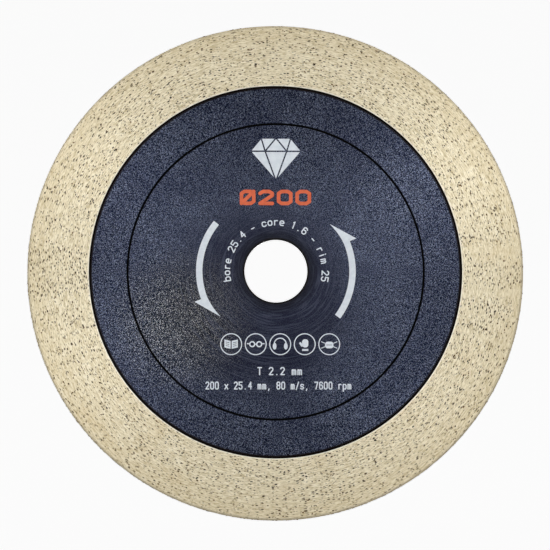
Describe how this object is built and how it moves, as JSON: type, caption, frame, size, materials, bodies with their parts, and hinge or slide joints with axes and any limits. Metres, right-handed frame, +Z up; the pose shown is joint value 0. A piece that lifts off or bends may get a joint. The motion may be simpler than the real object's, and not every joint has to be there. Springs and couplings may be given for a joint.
{
  "type": "diamond blade",
  "caption": "Thin round steel blade core with a smooth unbroken sintered diamond rim, a dark coat on both faces, a central arbor bore and printed rotation arrows.",
  "frame": {"origin": "centre of the arbor bore at the blade's mid-thickness", "axes": "+Y along the blade's axis from the printed front (-Y) to the plain back, +Z up the printing, +X to the right seen from the front"},
  "size_m": [0.2, 0.0022, 0.2],
  "materials": {
    "core_steel": "ground steel, bare in the bore",
    "sintered_bronze": "pale champagne bronze bond, finely dressed round the circle, with small pits",
    "dark_coat": "navy-charcoal sprayed coat, semi-matt, with a fine grain",
    "diamond_grit": "brownish synthetic diamond crystals",
    "white_ink": "screen-printed pale grey ink",
    "orange_ink": "screen-printed orange ink"
  },
  "bodies": {
    "root": {"back_coat": "dark_coat", "book_icon": "white_ink", "bore_ring_lettering": "white_ink", "crystals_back": "diamond_grit", "crystals_edge": "diamond_grit", "crystals_front": "diamond_grit", "diameter_numerals": "orange_ink", "diamond_rim": "sintered_bronze", "ear_muffs_icon": "white_ink", "front_coat": "dark_coat", "gem_emblem": "white_ink", "gloves_icon": "white_ink", "goggles_icon": "white_ink", "mask_icon": "white_ink", "rotation_arrow_left": "white_ink", "rotation_arrow_right": "white_ink", "size_and_speed_line": "white_ink", "steel_core": "core_steel", "thickness_numerals": "white_ink"}
  },
  "joints": []
}
